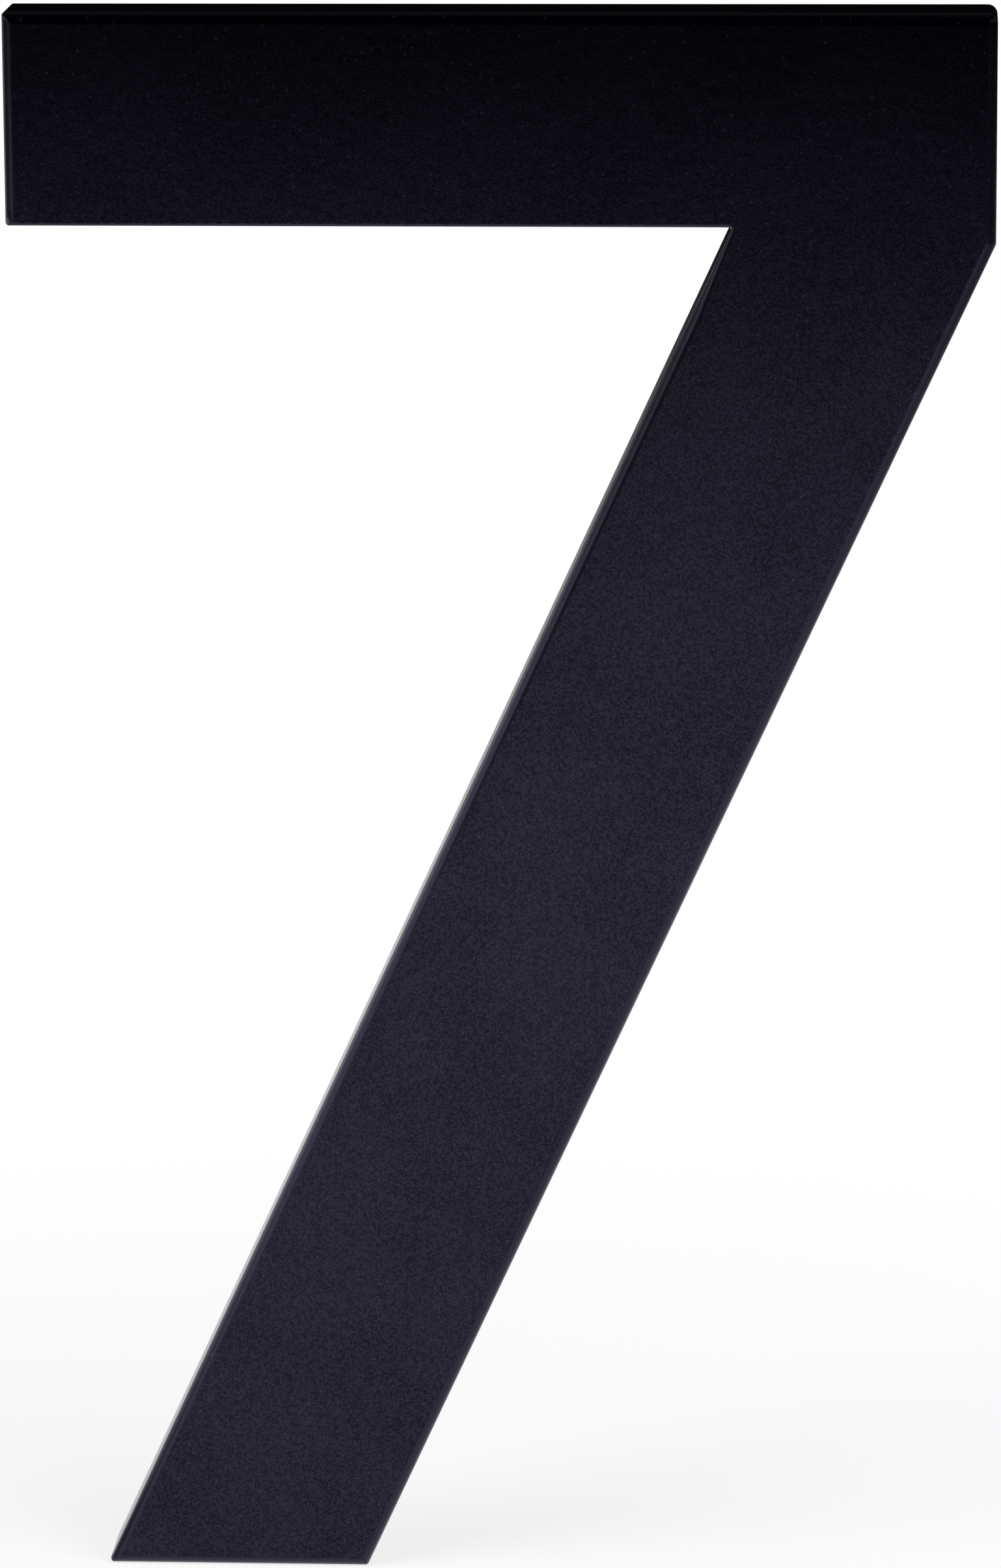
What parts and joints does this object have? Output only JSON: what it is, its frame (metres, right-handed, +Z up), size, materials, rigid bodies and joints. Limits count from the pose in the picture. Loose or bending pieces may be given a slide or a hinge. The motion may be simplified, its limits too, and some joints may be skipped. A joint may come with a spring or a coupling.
{
  "type": "house number",
  "caption": "Upright house numeral seven of matt black coated metal plate, with softly rounded front edges and blind threaded holes in its flat back for hidden studs.",
  "frame": {"origin": "on the flat back, midway between the two stud holes", "axes": "+Z is up on the wall, +X is the reader's right, +Y goes into the wall, and the front looks along -Y"},
  "size_m": [0.092, 0.008, 0.15],
  "materials": {
    "black_coat": "matt fine-grained black powder coat"
  },
  "bodies": {
    "root": {"number_seven": "black_coat"}
  },
  "joints": []
}
